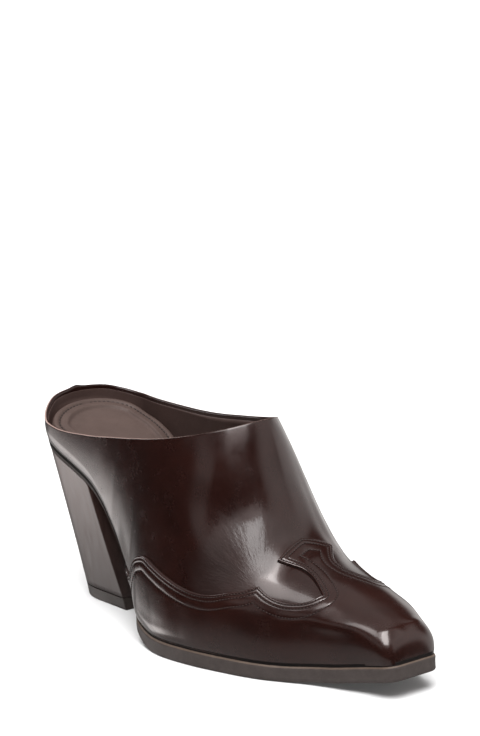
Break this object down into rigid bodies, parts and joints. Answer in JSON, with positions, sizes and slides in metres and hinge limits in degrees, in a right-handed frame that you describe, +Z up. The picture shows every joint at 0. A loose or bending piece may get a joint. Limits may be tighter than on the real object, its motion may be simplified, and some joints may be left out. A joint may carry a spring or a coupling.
{
  "type": "mule pump",
  "caption": "Closed-toe western mule for the right foot, with a snipped square toe, a wing-tip overlay with a spade tongue, a high slanted block heel and an open back.",
  "frame": {"origin": "centre of the shoe's bounding box in plan, on the floor plane that the heel and the forepart stand on", "axes": "X runs from the heel to the toe, Y from the outer side to the inner side of the foot, Z up"},
  "size_m": [0.246, 0.086, 0.1075],
  "materials": {
    "upper_leather": "very dark oxblood box leather, brushed to a high gloss",
    "wing_leather": "the same glossy leather, cut and stitched on as a wing-tip",
    "sole_rubber": "matte taupe-brown sole with a paler top edge",
    "heel_leather": "satin dark leather cover",
    "tip_rubber": "matte dark top lift",
    "insole_leather": "matte taupe lining leather",
    "pad_leather": "matte taupe padded sock with a raised border"
  },
  "bodies": {
    "root": {"upper": "upper_leather", "toe_overlay": "wing_leather", "outsole": "sole_rubber", "heel": "heel_leather", "heel_tip": "tip_rubber", "insole": "insole_leather", "heel_pad": "pad_leather"}
  },
  "joints": []
}
